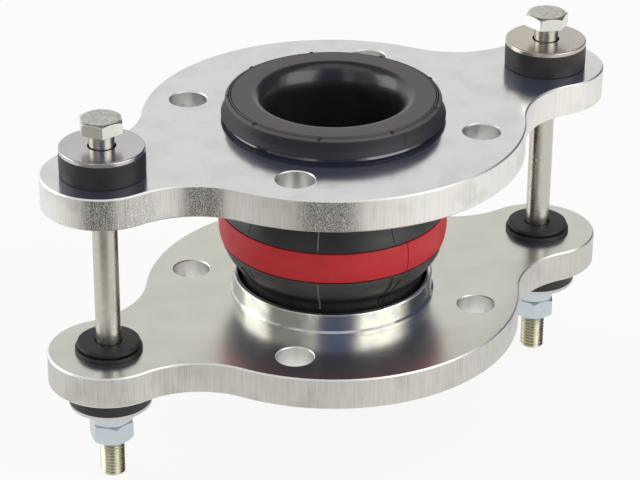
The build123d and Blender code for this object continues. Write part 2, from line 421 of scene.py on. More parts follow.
@dataclass(frozen=True)
class GrainyZinc(Finish):
    """Forged or punched steel under zinc plating: grainy on top, smoother on the sides."""

    shade: str = "#9A9890"
    grain_mm: float = 0.7
    cloud_mm: float = 3.5
    depth_mm: float = 0.02
    side_share: float = 0.15
    top_share: float = 0.0

    def pattern(self, on: Canvas) -> None:
        """Add the grain, and the uneven tone that plating has on it.

        Args:
            on: The material's canvas.
        """
        node, place = partial(add_node, on.tree), on.place
        fine = {"Vector": place, "Scale": 1 / self.grain_mm, "Detail": 3.0, "Roughness": 0.6}
        grain = node(NOISE, fine)
        clouds = node(NOISE, {"Vector": place, "Scale": 1 / self.cloud_mm, "Detail": 2.0})
        cloudy = node(RANGE, {0: clouds, 1: 0.4, 2: 0.7}, **SMOOTH)
        grainy = node(RANGE, {0: grain, 1: 0.3, 2: 0.7, 3: 0.4, 4: 1.0})
        level = {0: on.upright(), 1: 0.9, 2: 0.97, 3: self.side_share, 4: 1.0}
        on_top = node(RANGE, level, **SMOOTH)
        patch = node(MATH, {0: cloudy, 1: grainy}, operation="MULTIPLY")
        shares = {0: patch, 1: 1 - self.top_share, 2: self.top_share}
        even = node(MATH, shares, operation="MULTIPLY_ADD")
        tone = node(MATH, {0: even, 1: on_top}, operation="MULTIPLY")
        colour = node(MIX, {0: tone, 6: linear(self.colour), 7: linear(self.shade)}, **RGBA)
        rough = node(RANGE, {0: tone, 3: self.roughness, 4: self.roughness + 0.1})
        relief = node(MATH, {0: grain, 1: on_top}, operation="MULTIPLY")
        on.wire(colour, rough, relief, self.depth_mm)


@dataclass(frozen=True)
class MouldedRubber(Finish):
    """Press-moulded rubber: near black, satin where the mould was blasted."""

    bloom: str = "#2A2829"
    grain_mm: float = 0.8
    cloud_mm: float = 12.0
    depth_mm: float = 0.012

    def pattern(self, on: Canvas) -> None:
        """Add the mould's grain and a thin bloom.

        Args:
            on: The material's canvas.
        """
        node = partial(add_node, on.tree)
        grain, clouds = (
            node(NOISE, {"Vector": on.place, "Scale": 1 / size, "Detail": 3.0, "Roughness": 0.6})
            for size in (self.grain_mm, self.cloud_mm)
        )
        tone = node(RANGE, {0: clouds, 1: 0.35, 2: 0.75}, **SMOOTH)
        colour = node(MIX, {0: tone, 6: linear(self.colour), 7: linear(self.bloom)}, **RGBA)
        low, high = self.roughness - 0.04, self.roughness + 0.06
        rough = node(RANGE, {0: clouds, 1: 0.3, 2: 0.7, 3: low, 4: high})
        on.wire(colour, rough, grain, self.depth_mm)


@dataclass(frozen=True)
class BellowsRubber(Finish):
    """Press-moulded black rubber of the bellows.

    The two sealing faces carry a brownish grey bloom and are matt, and so is the collar's
    wall. The flared bore and the collar's foot came off polished steel and are glossy. The
    rest is satin. Under the band it is painted lighter: partly talcum left there, partly a
    painted highlight. Each level is a distance from the middle.
    """

    bloom: str = "#5A5455"
    tint: str = "#292728"
    talc_highlight: str = "#3D3A38"
    wall: str = "#1F1C26"
    grain_mm: float = 0.9
    cloud_mm: float = 14.0
    depth_mm: float = 0.01
    # Painted shade: the bloom is left out of each groove round the sealing face, so it shows dark.
    # Middle radius of each groove.
    shaded_grooves_mm: tuple[float, ...] = (49.1, 50.05)
    bore_mm: float = 39.5
    bore_gloss: float = 0.22
    bore_rough: float = 0.3
    # Where the arch under the band is painted lighter: partly talcum, partly a painted highlight.
    talc_highlight_from_mm: float = -8.0
    talc_highlight_to_mm: float = -18.0
    talc_highlight_share: float = 0.85
    middle_mm: float = 54.5
    face_mm: float = 64.7
    collar_rough: float = 0.52
    foot_mm: float = 56.7
    foot_rough: float = 0.12
    foot_gloss: float = 0.7
    body_mm: float = 54.4
    coat_rough: float = 0.14
    coat_ior: float = 2.0

    def pattern(self, on: Canvas) -> None:
        """Part the glossy bore and foot from the matt sealing face and the satin rest.

        Args:
            on: The material's canvas.
        """
        node, place = partial(add_node, on.tree), on.place
        grain, clouds = (
            node(NOISE, {"Vector": place, "Scale": 1 / size, "Detail": 3.0, "Roughness": 0.6})
            for size in (self.grain_mm, self.cloud_mm)
        )
        radius = on.off_axis(place, 0.0, 0.0)
        level = node(SPLIT, {0: place}).outputs["Z"]
        height = node(MATH, {0: level, 1: self.middle_mm}, operation="SUBTRACT")
        far = node(MATH, {0: height}, operation="ABSOLUTE")
        outside = node(RANGE, {0: radius, 1: self.bore_mm - 0.5, 2: self.bore_mm}, **SMOOTH)
        at_face = node(RANGE, {0: far, 1: self.face_mm - 0.6, 2: self.face_mm}, **SMOOTH)
        face = node(MATH, {0: outside, 1: at_face}, operation="MULTIPLY")
        # Painted shade: no bloom in the grooves, so they stay dark.
        for groove in self.shaded_grooves_mm:
            off = node(MATH, {0: radius, 1: groove}, operation="SUBTRACT")
            beside = node(MATH, {0: off}, operation="ABSOLUTE")
            past = node(RANGE, {0: beside, 1: 0.12, 2: 0.3}, **SMOOTH)
            face = node(MATH, {0: face, 1: past}, operation="MULTIPLY")
        skirt = node(RANGE, {0: far, 1: self.foot_mm - 0.2, 2: self.foot_mm - 0.1}, **SMOOTH)
        over_plate = node(RANGE, {0: far, 1: self.body_mm - 0.2, 2: self.body_mm}, **SMOOTH)
        foot = node(MATH, {0: over_plate, 1: skirt}, operation="SUBTRACT")
        # Under the band: lighter colour, partly talcum and partly a painted highlight.
        start, end = self.talc_highlight_from_mm, self.talc_highlight_to_mm
        below = node(RANGE, {0: height, 1: start + 1.0, 2: start, 4: self.talc_highlight_share})
        above = node(RANGE, {0: height, 1: end - 5.0, 2: end}, **SMOOTH)
        talc_highlight_zone = node(MATH, {0: below, 1: above}, operation="MULTIPLY")

        tone = node(RANGE, {0: clouds, 1: 0.35, 2: 0.75}, **SMOOTH)
        rest = node(MIX, {0: tone, 6: linear(self.colour), 7: linear(self.tint)}, **RGBA)
        dusty = node(RANGE, {0: grain, 1: 0.3, 2: 0.7, 3: 0.85, 4: 1.0})
        share = node(MATH, {0: face, 1: dusty}, operation="MULTIPLY")
        outer = rest
        for where, tinge in ((talc_highlight_zone, self.talc_highlight), (skirt, self.wall), (share, self.bloom)):
            outer = node(MIX, {0: where, 6: outer, 7: linear(tinge)}, **RGBA)
        colour = node(MIX, {0: outside, 6: rest, 7: outer}, **RGBA)
        low, high = self.roughness - 0.05, self.roughness + 0.05
        satin = node(RANGE, {0: clouds, 1: 0.3, 2: 0.7, 3: low, 4: high})
        matt = node(MIX, {0: skirt, 2: satin, 3: self.collar_rough})
        polished = node(MIX, {0: foot, 2: matt, 3: self.foot_rough})
        rough = node(MIX, {0: outside, 2: self.bore_rough, 3: polished})
        on.shader.inputs["Coat Roughness"].default_value = self.coat_rough
        on.shader.inputs["Coat IOR"].default_value = self.coat_ior
        inside = node(RANGE, {0: outside, 3: self.bore_gloss, 4: 0.0})
        gloss = node(MATH, {0: foot, 1: self.foot_gloss, 2: inside}, operation="MULTIPLY_ADD")
        on.tree.links.new(gloss.outputs[0], on.shader.inputs["Coat Weight"])
        on.wire(colour, rough, grain, self.depth_mm)


# ---------------------------------------------------------------- meshes


def put_in_scene(name: str, data: bpy.types.ID) -> bpy.types.Object:
    """Put a new object for a mesh, a lamp or a camera into the scene.

    Args:
        name: The object's name.
        data: What it shows.

    Returns:
        The object, at the origin.
    """
    made = bpy.data.objects.new(name, data)
    bpy.context.scene.collection.objects.link(made)
    return made


def round_ring(radius: float, height: float) -> Ring:
    """A circle of a lathe shape, by radius and height in millimetres."""
    return lambda angles: (np.full_like(angles, radius), np.full_like(angles, height))


def round_rings(path: Iterable[tuple[float, float]]) -> list[Ring]:
    """A circle for each point of a section."""
    return [round_ring(radius, height) for radius, height in path]


def hex_ring(
    flats: float, turn: float, height: float, slope: float = 0.0, from_radius: float = 0.0
) -> Ring:
    """A hexagonal ring of a lathe shape, which a cone may have cut.

    Args:
        flats: The width across flats.
        turn: The angle at which a corner stands, in radians.
        height: The ring's level.
        slope: How fast the level changes with the distance past from_radius.
        from_radius: The distance at which the level is the height.

    Returns:
        The ring.
    """
    sixth = math.pi / 3

    def ring(angles: np.ndarray) -> tuple[np.ndarray, np.ndarray]:
        """Distance and level of the hexagon's side at each angle."""
        off_flat = np.mod(angles - turn, sixth) - sixth / 2
        reach = flats / 2 / np.cos(off_flat)
        return reach, height + slope * (reach - from_radius)

    return ring


def round_corner(
    path: np.ndarray, corner: tuple[float, float], reach: float, steps: int
) -> np.ndarray:
    """Round one corner of a section.

    Args:
        path: The section's points, as radius and height.
        corner: The place of the corner.
        reach: How far from the corner the rounding starts.
        steps: How many points it gets.

    Returns:
        The section with the corner rounded.
    """
    k = int(np.argmin(np.linalg.norm(path - np.array(corner), axis=1)))
    spans = np.linalg.norm(np.diff(path, axis=0), axis=1)
    length = np.concatenate([[0.0], np.cumsum(spans)])
    start, end = length[k] - reach, length[k] + reach
    a, b = (np.array([np.interp(at, length, path[:, i]) for i in (0, 1)]) for at in (start, end))
    t = np.linspace(0, 1, steps + 1)[:, None]
    curve = (1 - t) ** 2 * a + 2 * t * (1 - t) * path[k] + t**2 * b
    apart = 1e-6
    return np.vstack([path[length < start - apart], curve, path[length > end + apart]])


def arc(
    centre: tuple[float, float], radius: float, start: float, end: float, steps: int
) -> np.ndarray:
    """Points on an arc of a section.

    Args:
        centre: The arc's centre, as radius and height.
        radius: The arc's radius.
        start: The angle where it starts, in radians.
        end: The angle where it ends.
        steps: How many spans it has.

    Returns:
        The points, one in each row.
    """
    angles = np.linspace(start, end, steps + 1)
    return np.c_[centre[0] + radius * np.cos(angles), centre[1] + radius * np.sin(angles)]


def chain(name: str, points: np.ndarray) -> bpy.types.Mesh:
    """Join points one after the other by edges.

    Args:
        name: The mesh's name.
        points: The points in millimetres, one in each row.

    Returns:
        The mesh.
    """
    mesh = bpy.data.meshes.new(name)
    mesh.from_pydata((points * MM).tolist(), list(pairwise(range(len(points)))), [])
    return mesh


def lathe(
    name: str,
    rings: Sequence[Ring],
    material: bpy.types.Material,
    segments: int,
    centre: tuple[float, float] = (0.0, 0.0),
    start: float = 0.0,
    sweep: float = math.tau,
    looped: bool = True,
) -> bpy.types.Object:
    """Turn a section about an axis along Z.

    Args:
        name: The new object's name.
        rings: The section's rings in order, in millimetres.
        material: The finish.
        segments: How many steps go round.
        centre: Where the axis stands, in millimetres.
        start: The angle where the turn starts, in radians.
        sweep: How far it turns.
        looped: Whether the last ring joins the first; if not, both end rings are closed.

    Returns:
        The object, at the origin, with its faces outwards.
    """
    whole = math.isclose(sweep, math.tau)
    count = segments if whole else segments + 1
    angles = start + sweep * np.arange(count) / segments
    form = bmesh.new()
    rows = []
    for ring in rings:
        radius, height = ring(angles)
        x, y = centre[0] + radius * np.cos(angles), centre[1] + radius * np.sin(angles)
        rows.append([form.verts.new(Vector(point) * MM) for point in np.c_[x, y, height]])
    for low, high in pairwise([*rows, rows[0]] if looped else rows):
        for i in range(segments):
            j = (i + 1) % count
            form.faces.new((low[i], low[j], high[j], high[i]))
    ends = []
    if not looped:
        ends = [rows[0], rows[-1]]
    elif not whole:
        ends = [[row[k] for row in rows] for k in (0, -1)]
    for end in ends:
        form.faces.new(end)
    bmesh.ops.recalc_face_normals(form, faces=form.faces)
    mesh = bpy.data.meshes.new(name)
    form.to_mesh(mesh)
    form.free()
    mesh.shade_smooth()
    mesh.materials.append(material)
    return put_in_scene(name, mesh)


def sharpen(piece: bpy.types.Object, degrees: float) -> None:
    """Shade edges sharp where the faces turn by more than an angle."""
    piece.data.set_sharp_from_angle(angle=math.radians(degrees))


def soften(piece: bpy.types.Object, width_mm: float) -> None:
    """Round the sharp edges of a piece, and keep its flats flat.

    Args:
        piece: The piece.
        width_mm: How wide the rounding is.
    """
    bevel = piece.modifiers.new("rounded edges", "BEVEL")
    bevel.width = width_mm * MM
    bevel.segments = 2
    bevel.limit_method = "ANGLE"
    bevel.angle_limit = math.radians(25.0)
    bevel.harden_normals = True


def bake(piece: bpy.types.Object) -> bpy.types.Mesh:
    """Make a plain mesh of a piece as its modifiers leave it.

    Args:
        piece: The piece.

    Returns:
        The new mesh.
    """
    bpy.context.view_layer.update()
    graph = bpy.context.evaluated_depsgraph_get()
    return bpy.data.meshes.new_from_object(piece.evaluated_get(graph))


def join(name: str, pieces: Sequence[bpy.types.Object]) -> bpy.types.Object:
    """Join pieces into one object of their own meshes, modifiers included.

    Args:
        name: The joined object's name.
        pieces: The pieces, which are removed.

    Returns:
        The joined object.
    """
    form = bmesh.new()
    materials: list[bpy.types.Material] = []
    for piece in pieces:
        mesh = bake(piece)
        for material in mesh.materials:
            if material is not None and material not in materials:
                materials.append(material)
        slots = [materials.index(m) if m is not None else 0 for m in mesh.materials] or [0]
        first = len(form.faces)
        form.from_mesh(mesh)
        form.faces.ensure_lookup_table()
        for face in form.faces[first:]:
            face.material_index = slots[min(face.material_index, len(slots) - 1)]
        bpy.data.meshes.remove(mesh)
        bpy.data.objects.remove(piece)
    mesh = bpy.data.meshes.new(name)
    form.to_mesh(mesh)
    form.free()
    for material in materials:
        mesh.materials.append(material)
    return put_in_scene(name, mesh)


def stand_in(piece: bpy.types.Object, node: str) -> None:
    """Let a finished piece stand for a CAD node.

    Args:
        piece: The piece.
        node: The CAD node.
    """
    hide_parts(node)
    LOG.info("%s: %d faces, stands for %s", piece.name, len(piece.data.polygons), node)


# ---------------------------------------------------------------- geometry node trees

CIRCLE = "GeometryNodeCurvePrimitiveCircle"
SWEEP = "GeometryNodeCurveToMesh"
SPREAD = "GeometryNodeInstanceOnPoints"
TRANSFORM = "GeometryNodeTransform"
SOCKETS = {
    int: "NodeSocketInt",
    float: "NodeSocketFloat",
    bpy.types.Material: "NodeSocketMaterial",
}


class NodeShape:
    """A Geometry Nodes tree with named inputs, and the baking of what it makes."""

    def __init__(self, name: str, inputs: dict[str, object]) -> None:
        """Start the tree.

        Args:
            name: The tree's name.
            inputs: Each named size with its value; an int, a float or a material.
        """
        self.name = name
        self.tree = bpy.data.node_groups.new(name, "GeometryNodeTree")
        self.node = partial(add_node, self.tree)
        face = self.tree.interface
        for way in ("INPUT", "OUTPUT"):
            face.new_socket("Geometry", in_out=way, socket_type="NodeSocketGeometry")
        self.values = {}
        for key, value in inputs.items():
            socket = face.new_socket(key, in_out="INPUT", socket_type=SOCKETS[type(value)])
            self.values[socket.identifier] = value
        self.sizes = self.node("NodeGroupInput").outputs

    def end(self, geometry: bpy.types.Node) -> None:
        """Close the tree: real geometry, with its material.

        Args:
            geometry: The node that gives what the tree has made.
        """
        real = self.node("GeometryNodeRealizeInstances", {0: geometry})
        look = {"Geometry": real, "Material": self.sizes["Material"]}
        self.node("NodeGroupOutput", {0: self.node("GeometryNodeSetMaterial", look)})

    def build(self, name: str, base: bpy.types.Mesh | None = None) -> bpy.types.Object:
        """Run the tree and keep what it makes as a plain mesh.

        Args:
            name: The new object's name.
            base: The mesh that the tree starts from, if it needs one.

        Returns:
            The object, with no modifier.
        """
        holder = put_in_scene(name, base or bpy.data.meshes.new(name))
        modifier = holder.modifiers.new(self.name, "NODES")
        modifier.node_group = self.tree
        for identifier, value in self.values.items():
            modifier[identifier] = value
        mesh = bake(holder)
        holder.modifiers.clear()
        holder.data = mesh
        return holder


class ThreadRidge(NodeShape):
    """The helical ridge of a screw thread, as a swept lozenge half sunk in its core."""

    # The share of the thread's length over which each end fades, and what it fades to.
    RUN = 0.045
    FADED = 0.15

    def __init__(
        self,
        material: bpy.types.Material,
        root_mm: float,
        depth_mm: float,
        pitch_mm: float,
        length_mm: float,
    ) -> None:
        """Build the tree.

        Args:
            material: The thread's finish.
            root_mm: The core's radius.
            depth_mm: How far the crest stands out of the core.
            pitch_mm: The distance between two crests.
            length_mm: How much of the rod is threaded.
        """
        super().__init__(
            "screw thread",
            {
                "Root Radius": root_mm * MM,
                "Depth": depth_mm * MM,
                "Pitch": pitch_mm * MM,
                "Length": length_mm * MM,
                "Steps Per Turn": 40,
                "Material": material,
            },
        )
        node, sizes = self.node, self.sizes
        turns = node(MATH, {0: sizes["Length"], 1: sizes["Pitch"]}, operation="DIVIDE")
        spiral = node(
            "GeometryNodeCurveSpiral",
            {
                "Resolution": sizes["Steps Per Turn"],
                "Rotations": turns,
                "Start Radius": sizes["Root Radius"],
                "End Radius": sizes["Root Radius"],
                "Height": sizes["Length"],
            },
        )
        along = node("GeometryNodeSplineParameter").outputs["Factor"]
        run_in = node(RANGE, {0: along, 1: 0.0, 2: self.RUN, 3: self.FADED, 4: 1.0})
        run_out = node(RANGE, {0: along, 1: 1.0 - self.RUN, 2: 1.0, 3: 1.0, 4: self.FADED})
        fade = node(MATH, {0: run_in, 1: run_out}, operation="MULTIPLY")
        tapered = node("GeometryNodeSetCurveRadius", {"Curve": spiral, "Radius": fade})
        level = node("GeometryNodeSetCurveNormal", {"Curve": tapered}, mode="Z_UP")
        lozenge = node(CIRCLE, {"Resolution": 4, "Radius": 1.0})
        half_pitch = node(MATH, {0: sizes["Pitch"], 1: 0.5}, operation="MULTIPLY")
        scale = node(COMBINE, {0: sizes["Depth"], 1: half_pitch, 2: 1.0})
        profile = node(TRANSFORM, {"Geometry": lozenge, "Scale": scale})
        self.end(node(SWEEP, {"Curve": level, "Profile Curve": profile, "Fill Caps": True}))


class VentPips(NodeShape):
    """Small pips of rubber, evenly spaced round a collar, where the mould was vented."""

    def __init__(
        self,
        material: bpy.types.Material,
        count: int,
        radius_mm: float,
        level_mm: float,
        pip_mm: float,
        first_deg: float,
    ) -> None:
        """Build the tree.

        Args:
            material: The rubber.
            count: How many pips go round.
            radius_mm: How far from the axis they stand.
            level_mm: Their level.
            pip_mm: A pip's radius.
            first_deg: The first one's angle.
        """
        super().__init__(
            "vent pips",
            {
                "Count": count,
                "Radius": radius_mm * MM,
                "Level": level_mm * MM,
                "Pip Radius": pip_mm * MM,
                "First Angle": math.radians(first_deg),
                "Material": material,
            },
        )
        node, sizes = self.node, self.sizes
        circle = {"Vertices": sizes["Count"], "Radius": sizes["Radius"]}
        places = {
            "Geometry": node("GeometryNodeMeshCircle", circle),
            "Translation": node(COMBINE, {2: sizes["Level"]}),
            "Rotation": node(COMBINE, {2: sizes["First Angle"]}),
        }
        ball = {"Segments": 12, "Rings": 8, "Radius": sizes["Pip Radius"]}
        smooth = node("GeometryNodeSetShadeSmooth", {0: node("GeometryNodeMeshUVSphere", ball)})
        self.end(node(SPREAD, {"Points": node(TRANSFORM, places), "Instance": smooth}))


class MouldLines(NodeShape):
    """Fine raised lines that follow a section, repeated round the pipe's axis."""

    def __init__(
        self, material: bpy.types.Material, count: int, first_deg: float, line_mm: float
    ) -> None:
        """Build the tree.

        Args:
            material: The rubber.
            count: How many lines go round.
            first_deg: The first one's angle.
            line_mm: A line's radius.
        """
        super().__init__(
            "mould lines",
            {
                "Count": count,
                "First Angle": math.radians(first_deg),
                "Line Radius": line_mm * MM,
                "Material": material,
            },
        )
        node, sizes = self.node, self.sizes
        path = node("GeometryNodeMeshToCurve", {0: sizes["Geometry"]})
        line = node(CIRCLE, {"Resolution": 8, "Radius": sizes["Line Radius"]})
        swept = node(SWEEP, {"Curve": path, "Profile Curve": line, "Fill Caps": True})
        stack = {"Count": sizes["Count"], "Offset": (0.0, 0.0, 0.0)}
        places = node("GeometryNodeMeshLine", stack)
        index = node("GeometryNodeInputIndex")
        step = node(MATH, {0: math.tau, 1: sizes["Count"]}, operation="DIVIDE")
        turned = {0: index, 1: step, 2: sizes["First Angle"]}
        turn = node(COMBINE, {2: node(MATH, turned, operation="MULTIPLY_ADD")})
        self.end(node(SPREAD, {"Points": places, "Instance": swept, "Rotation": turn}))


# ---------------------------------------------------------------- the bellows

# Faces that turn by more than this many degrees meet in a sharp edge.
SHARP_RUBBER = 40.0
SHARP_SHANK = 30.0
SHARP_HEXAGON = 14.0


@dataclass
class Bellows:
    """The moulded rubber body, from sealing face to sealing face, and the band round it."""

    rubber: bpy.types.Material
    # Painted shade: a darker copy of the body rubber, for the vent pips and the folds of the
    # cloth; the collar splices are dark joints in it.
    shaded_rubber: bpy.types.Material
    talc_highlight: bpy.types.Material
    red: bpy.types.Material
    middle: float = 54.5
    waterway_r: float = 31.5
    neck_r: float = 44.7
    crest_r: float = 55.7
    arch_r: float = 31.03
    arch_wall: float = 9.0
    root_rise: float = 23.7
    collar_proud: float = 11.5
    flare_wide: float = 8.0
    flare_deep: float = 14.0
    seal_r: float = 49.2
    rim_r: float = 52.0
    skirt_r: float = 53.95
    skirt_gap: float = 2.2
    foot_r: float = 51.4
    seat_r: float = 52.2
    band_width: float = 15.0
    band_depth: float = 1.0
    band_proud: float = 0.15
    band_gap: float = 0.6
    butt_gap: float = 0.4
    butt_deg: float = -81.0
    vents: int = 9
    first_vent_deg: float = -48.6
    # One of the vent lines is drawn in light rubber, this far round from the first: partly talcum,
    # partly a painted highlight.
    highlit_vent_deg: float = -80.0
    vent_from: float = 27.5
    pip_r: float = 1.35
    pip_out: float = 1.1
    pip_up: float = 1.15
    splices_deg: tuple[float, float] = (-82.3, -80.9)
    # The folds of the cloth: angle in degrees and level of each one's corners.
    folds: tuple[tuple[tuple[float, float], ...], ...] = (
        ((-89.2, 45.5), (-89.6, 40.0), (-91.5, 27.5)),
        ((-83.6, 42.5), (-85.0, 37.0), (-88.0, 27.5)),
        ((-175.5, 43.0), (-172.5, 37.0), (-167.5, 31.0)),
    )
    bend_from: float = 18.0
    bend_to: float = 91.0
    steps: int = 232
    band_steps: int = 320
    line_steps: int = 16

    @property
    def arch_centre(self) -> tuple[float, float]:
        """Centre of the arch's circle, as radius and height."""
        return self.crest_r - self.arch_r, self.middle

    @property
    def half_recess(self) -> float:
        """Half the width of the recess in which the band lies."""
        return self.band_width / 2 + self.band_gap

    def mirror(self, height: float | np.ndarray) -> float | np.ndarray:
        """A level, or levels, mirrored in the joint's middle."""
        return 2 * self.middle - height

    def half_section(self) -> np.ndarray:
        """Lower half of the wall's section, from the inner crest round to the outer crest.

        Returns:
            Radius and height of each point, in millimetres.
        """
        centre = self.arch_centre
        inner = self.arch_r - self.arch_wall
        lip_angle = -math.acos((self.waterway_r - centre[0]) / inner)
        lip = (self.waterway_r, centre[1] + inner * math.sin(lip_angle))
        root_angle = -math.asin(self.root_rise / self.arch_r)
        root = (self.neck_r, self.middle - self.root_rise)
        low = -self.collar_proud
        bore = np.linspace(lip[1], low + self.flare_deep, 5)[1:]
        opening = np.linspace(0.0, math.pi / 2, 17)[1:]
        flare = np.c_[
            self.waterway_r + self.flare_wide * (1 - np.cos(opening)),
            low + self.flare_deep * (1 - np.sin(opening)),
        ]
        # The collar, from the sealing face over its two grooves and down to the skirt.
        seal, rim, edge = self.seal_r, self.rim_r, -self.skirt_gap
        bead = (seal + 0.5, low + 0.05)
        shoulder = (rim, low + 1.8)
        wall = (rim + 0.05, edge - 4.8)
        hollow = (rim + 0.35, edge - 3.0)
        swell = (rim + 1.1, edge - 1.5)
        collar = [
            (seal - 0.35, low),
            (seal - 0.1, low + 0.5),
            (seal + 0.15, low),
            bead,
            (seal + 0.8, low + 1.1),
            (seal + 1.15, low + 0.45),
            (seal + 2.0, low + 0.8),
            shoulder,
            wall,
            hollow,
            swell,
            (self.skirt_r - 0.05, edge - 0.4),
            (self.skirt_r, edge),
            (self.foot_r, edge + 0.2),
            (self.seat_r, 0.0),
            (self.neck_r, 0.0),
            (self.neck_r, 15.0),
        ]
        groove = self.arch_r - self.band_depth
        edge_angle, floor_angle = (-math.asin(self.half_recess / r) for r in (self.arch_r, groove))
        path = np.vstack(
            [
                arc(centre, inner, 0.0, lip_angle, 22),
                np.c_[np.full_like(bore, self.waterway_r), bore],
                flare,
                collar,
                arc(centre, self.arch_r, root_angle, edge_angle, 38),
                arc(centre, groove, floor_angle, 0.0, 6),
            ]
        )
        path = round_corner(path, lip, 3.4, 10)
        fine = ((bead, 0.15), (shoulder, 0.7), (wall, 0.8), (hollow, 0.7), (swell, 0.6))
        for corner, reach in fine:
            path = round_corner(path, corner, reach, 4)
        return round_corner(path, root, 3.4, 10)

    def dress(self, piece: bpy.types.Object, slot: str, node: str) -> None:
        """Let a soft piece stand for its CAD node.

        Its rest places are kept for the patterns of its materials.

        Args:
            piece: The finished piece.
            slot: Not used.
            node: The CAD node that it stands for.
        """
        places = np.empty(len(piece.data.vertices) * 3, dtype=np.float32)
        piece.data.vertices.foreach_get("co", places)
        kept = piece.data.attributes.new(REST_PLACE, "FLOAT_VECTOR", "POINT")
        kept.data.foreach_set("vector", places)
        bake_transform(piece)
        stand_in(piece, node)

    def line_path(
        self, name: str, angles: np.ndarray, heights: np.ndarray, sunk: float
    ) -> bpy.types.Mesh:
        """A path along the outer surface between the plates, as a chain of edges.

        Args:
            name: The mesh's name.
            angles: Each point's angle, in degrees.
            heights: Each point's level.
            sunk: How deep the path lies under the surface.

        Returns:
            The mesh.
        """
        path = self.half_section()
        neck = int(np.flatnonzero((path[:, 0] == self.neck_r) & (path[:, 1] == 0.0))[0])
        low = self.middle - np.abs(heights - self.middle)
        radius = np.interp(low, path[neck:, 1], path[neck:, 0]) - sunk
        turn = np.radians(angles)
        return chain(name, np.c_[radius * np.cos(turn), radius * np.sin(turn), heights])

    def build_lines(self) -> list[bpy.types.Object]:
        """Vent lines up the arch, folds of the cloth, and the splices across the collars.

        Returns:
            One object for each set of lines.
        """
        made = []
        vent = MouldLines(self.rubber, self.vents, self.first_vent_deg, 0.34)
        # A lighter copy of this vent line: partly talcum, partly a painted highlight.
        worn = MouldLines(self.talc_highlight, 1, self.first_vent_deg + self.highlit_vent_deg, 0.36)
        below, above = self.middle - self.half_recess, self.middle + self.half_recess
        for low, high in ((self.vent_from, below), (above, self.mirror(self.vent_from))):
            levels = np.linspace(low, high, self.line_steps)
            base = self.line_path("vent line", np.zeros_like(levels), levels, 0.1)
            made += [vent.build("arch_vent_lines", base), worn.build("highlit_vent_line", base)]
        # The folds are drawn in the darker rubber: painted shade in the creases.
        fold = MouldLines(self.shaded_rubber, 1, 0.0, 0.5)
        for corners in self.folds:
            angles, heights = np.array(corners).T
            levels = np.linspace(heights[0], heights[-1], self.line_steps)
            turned = np.interp(-levels, -heights, angles)
            made.append(fold.build("cloth_folds", self.line_path("fold", turned, levels, 0.08)))
        splices = [MouldLines(self.shaded_rubber, 1, degrees, 0.24) for degrees in self.splices_deg]
        start = 1.9 - self.collar_proud
        out, wall = np.array([(0.0, start), (0.05, -7.0), (0.3, -5.3), (0.95, -3.8)]).T
        for levels in (wall, self.mirror(wall)):
            points = np.c_[self.rim_r + out - 0.06, np.zeros_like(out), levels]
            base = chain("collar line", points)
            made += [splice.build("collar_splice", base) for splice in splices]
        return made

    def build_body(self) -> None:
        """Build the moulded body with its vent pips and lines as one piece."""
        lower = self.half_section()
        upper = lower[-2:0:-1].copy()
        upper[:, 1] = self.mirror(upper[:, 1])
        rings = round_rings(np.vstack([lower, upper]))
        body = lathe("bellows_body", rings, self.rubber, self.steps)
        sharpen(body, SHARP_RUBBER)
        parts = [body, *self.build_lines()]
        pip_level, pips_r = self.pip_up - self.collar_proud, self.seal_r + self.pip_out
        for level in (pip_level, self.mirror(pip_level)):
            pips = VentPips(
                self.shaded_rubber, self.vents, pips_r, level, self.pip_r, self.first_vent_deg
            )
            parts.append(pips.build("vent_pips"))
        self.dress(join("bellows_body", parts), "bellows_rubber", "bellows")

    def build_band(self) -> None:
        """Build the red band, with the butt joint where its two ends meet."""
        centre = self.arch_centre
        outer, inner = self.arch_r + self.band_proud, self.arch_r - self.band_depth
        half = self.band_width / 2
        out_angle, in_angle = math.asin(half / outer), math.asin(half / inner)
        outside = arc(centre, outer, -out_angle, out_angle, 20)
        path = np.vstack([outside, arc(centre, inner, in_angle, -in_angle, 6)])
        # The section starts inside, so that no corner to be rounded is its end.
        path = np.roll(path, 4, axis=0)
        for sign in (-1, 1):
            edge = (centre[0] + outer * math.cos(out_angle), centre[1] + sign * half)
            path = round_corner(path, edge, 0.3, 4)
        gap = self.butt_gap / self.crest_r
        piece = lathe(
            "red_band_strip",
            round_rings(path),
            self.red,
            self.band_steps,
            start=math.radians(self.butt_deg) + gap / 2,
            sweep=math.tau - gap,
        )
        sharpen(piece, SHARP_RUBBER)
        self.dress(piece, "red_rubber", "red_band")

    def build(self) -> None:
        """Build the body and the band."""
        self.build_body()
        self.build_band()


# ---------------------------------------------------------------- around the rods


